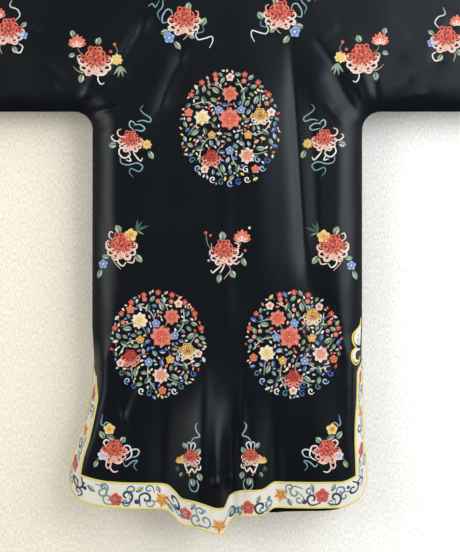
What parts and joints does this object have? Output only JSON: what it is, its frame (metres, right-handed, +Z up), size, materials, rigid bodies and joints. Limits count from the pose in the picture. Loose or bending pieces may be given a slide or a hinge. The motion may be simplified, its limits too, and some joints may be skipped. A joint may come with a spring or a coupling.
{
  "type": "changshan-style long robe on a hanging rod",
  "caption": "Long black satin robe with embroidered sprays, round floral figures and a cream border with side slits, hung flat through its sleeves on a wooden rod.",
  "frame": {"origin": "on the rod's axis, at the middle of the robe", "axes": "+X along the rod to the wearer's right, +Y from the robe's back to its front, towards the wall behind, +Z up"},
  "size_m": [1.46, 0.1162, 1.3641],
  "materials": {
    "satin": "black satin with a cool sheen",
    "ribbon": "cream satin with embroidered scrolls",
    "piping": "yellow satin piping",
    "knot": "black silk cord",
    "wood": "plain oiled wood"
  },
  "bodies": {
    "root": {"back": "satin", "front_left": "satin", "front_right": "satin", "sleeve_left": "satin", "sleeve_right": "satin", "collar": "satin", "border_back": "ribbon", "border_front": "ribbon", "piping_back_inner": "piping", "piping_back_outer": "piping", "piping_front_inner": "piping", "piping_front_outer": "piping", "frog_1": "knot", "frog_2": "knot", "frog_3": "knot", "rod": "wood"}
  },
  "joints": []
}
